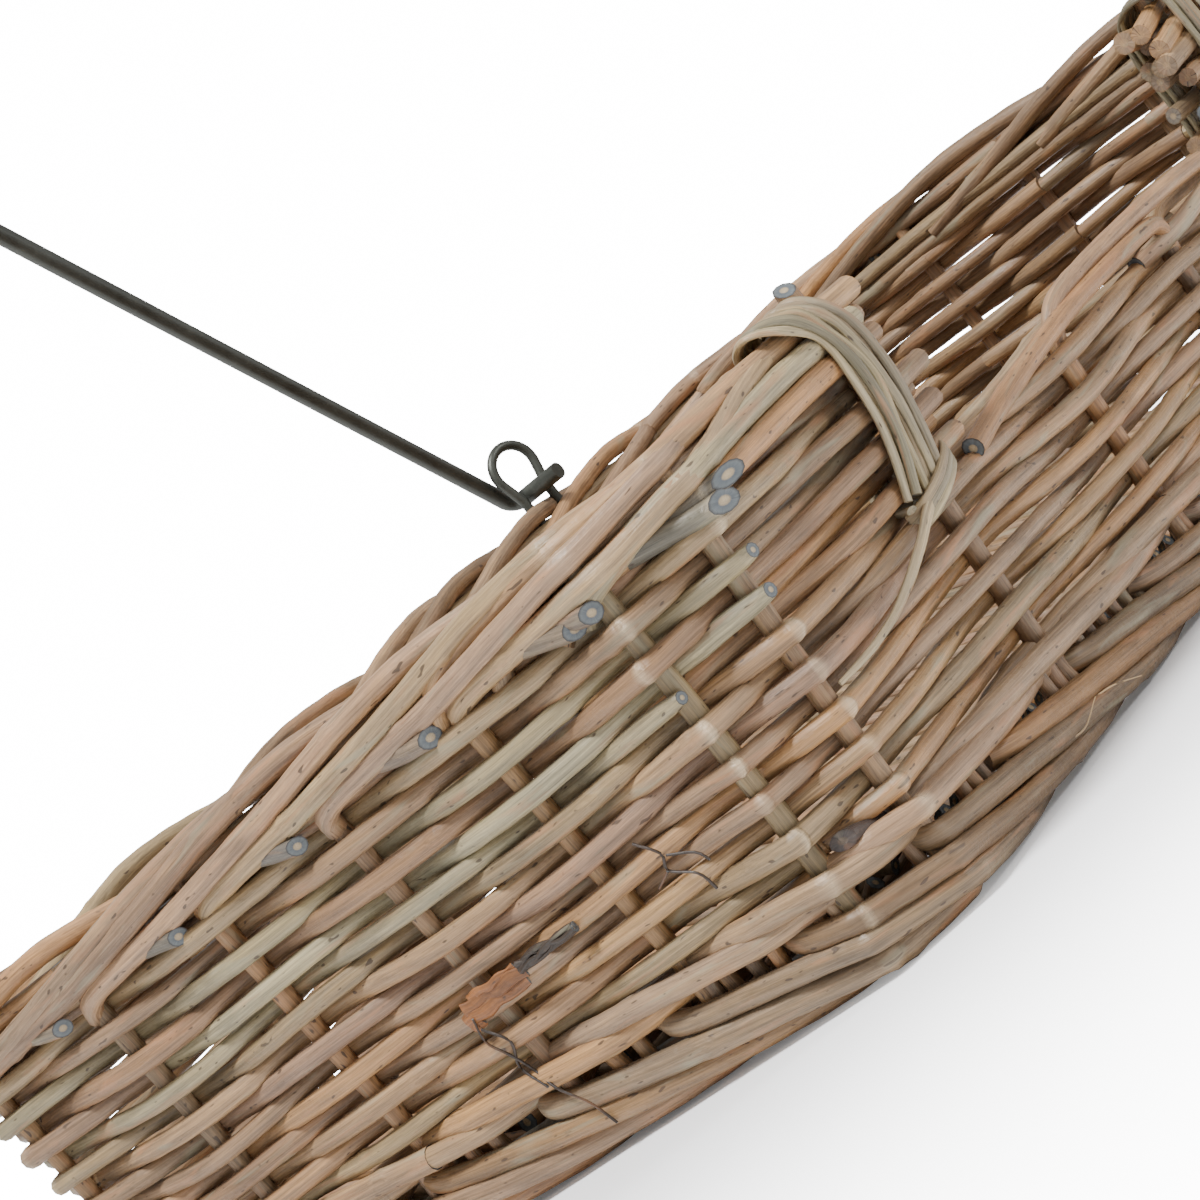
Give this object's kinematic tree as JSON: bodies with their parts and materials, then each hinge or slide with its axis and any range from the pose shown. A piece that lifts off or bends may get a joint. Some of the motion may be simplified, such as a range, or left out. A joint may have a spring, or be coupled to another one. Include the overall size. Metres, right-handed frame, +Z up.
{
  "type": "rectangular willow basket",
  "caption": "Shallow rectangular willow basket, woven on upright stakes, with a lowered front lip, lashed posts and a swinging metal bail.",
  "frame": {"origin": "the middle of the basket's underside, on the ground", "axes": "+X along the basket's length, towards the end that the bail is hinged near; -Y towards the wall with the lowered lip; +Z up"},
  "size_m": [0.442, 0.3028, 0.3263],
  "materials": {
    "woven_willow": "washed brown-grey willow, satin",
    "stake_willow": "washed willow, satin",
    "split_willow": "split willow skin, grey-green, satin",
    "wire": "dark lacquered steel wire",
    "bail_steel": "dark lacquered steel rod, satin"
  },
  "bodies": {
    "basket": {"base_sticks": "stake_willow", "base_weave": "woven_willow", "corner_stakes": "stake_willow", "eye_back": "wire", "eye_front": "wire", "foot_border_back": "woven_willow", "foot_border_front": "woven_willow", "foot_border_left": "woven_willow", "foot_border_right": "woven_willow", "foot_pegs": "stake_willow", "lashing_left": "split_willow", "lashing_right": "split_willow", "lip_border": "woven_willow", "lip_posts": "stake_willow", "lip_stakes": "stake_willow", "rim_border_back": "woven_willow", "rim_border_front_left": "woven_willow", "rim_border_front_right": "woven_willow", "rim_border_left": "woven_willow", "rim_border_right": "woven_willow", "stakes_back": "stake_willow", "stakes_left": "stake_willow", "stakes_right": "stake_willow", "wale_back": "woven_willow", "wale_front": "woven_willow", "wale_left": "woven_willow", "wale_right": "woven_willow", "weave_back": "woven_willow", "weave_front_left": "woven_willow", "weave_front_right": "woven_willow", "weave_left": "woven_willow", "weave_lip": "woven_willow", "weave_right": "woven_willow"},
    "bail": {"bail": "bail_steel"}
  },
  "joints": [
    {"name": "bail_swing", "type": "hinge", "parent": "basket", "child": "bail", "pos_m": [0.13, 0, 0.122], "axis": [0, 1, 0], "range_deg": [-36, 135]}
  ]
}
